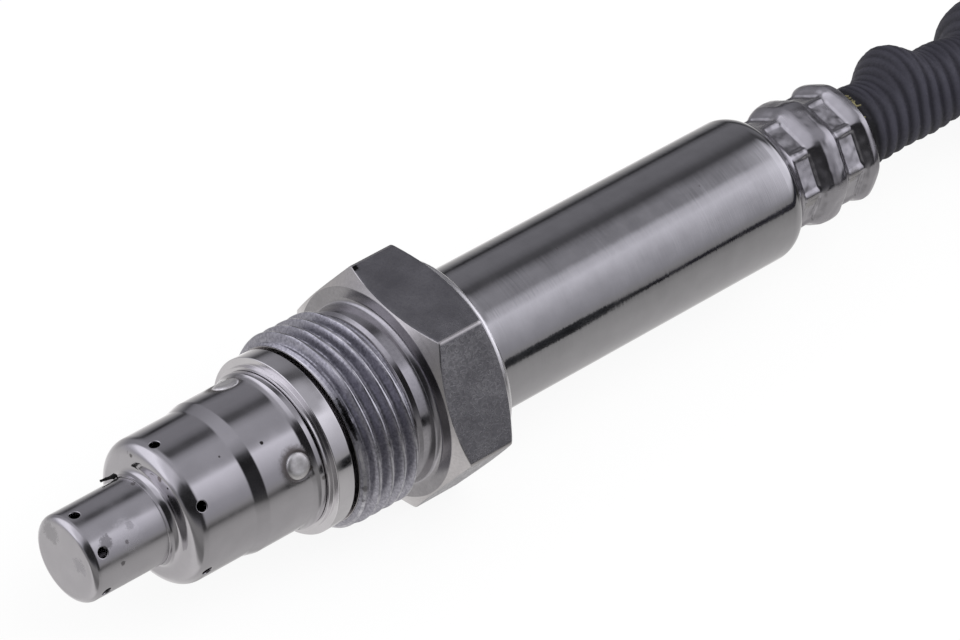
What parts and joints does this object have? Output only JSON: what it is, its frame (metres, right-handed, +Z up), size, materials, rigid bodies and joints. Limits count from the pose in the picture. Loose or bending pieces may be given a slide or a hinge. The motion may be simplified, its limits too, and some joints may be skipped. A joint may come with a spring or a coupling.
{
  "type": "exhaust gas nitrogen oxide sensor",
  "caption": "Screw-in exhaust nitrogen oxide probe with a perforated tip, captive hexagon gland nut, crimped shell and sheathed cable with plug.",
  "frame": {"origin": "on the probe's axis, at the front of the seal seat between the tip tubes and the sealing collar", "axes": "-X along the probe's axis towards the tip, +X towards the cable, +Z up, with the hexagon standing on a flat"},
  "size_m": [0.2167, 0.1177, 0.022],
  "materials": {
    "polished_steel": "polished deep-drawn stainless steel",
    "shell_steel": "finely brushed stainless steel",
    "nut_steel": "dull coated steel",
    "white_ceramic": "sintered ceramic",
    "talc": "pressed powder",
    "nickel": "nickel plated",
    "lead_insulation": "extruded insulation",
    "black_rubber": "moulded",
    "glass_sleeve": "braided glass fibre",
    "conduit": "matte ribbed sheath",
    "plug_plastic": "moulded",
    "insert_plastic": "moulded",
    "seal_rubber": "moulded"
  },
  "bodies": {
    "sensor": {"inner_tube": "polished_steel", "outer_tube": "polished_steel", "element_shield": "polished_steel", "sensing_element": "white_ceramic", "sensor_housing": "polished_steel", "front_ceramic": "white_ceramic", "talc_ring_front": "talc", "middle_ceramic": "white_ceramic", "talc_ring_rear": "talc", "rear_ceramic": "white_ceramic", "packing_ring": "nickel", "contact_carrier_front": "white_ceramic", "contact_carrier_rear": "white_ceramic", "contact_springs": "nickel", "carrier_clip": "nickel", "crimp_barrels": "nickel", "lead_wires": "lead_insulation", "rear_shell": "shell_steel", "cable_grommet": "black_rubber", "wire_sleeve": "glass_sleeve", "conduit_run": "conduit", "conduit_coil": "conduit", "conduit_tail": "conduit", "plug_body": "plug_plastic", "plug_insert": "insert_plastic", "plug_pins": "nickel", "plug_seal": "seal_rubber", "plug_boot": "black_rubber"},
    "nut": {"gland_nut": "nut_steel"}
  },
  "joints": [
    {"name": "nut_spin", "type": "hinge", "parent": "sensor", "child": "nut", "pos_m": [0.012, 0, 0], "axis": [1, 0, 0], "continuous": true}
  ]
}
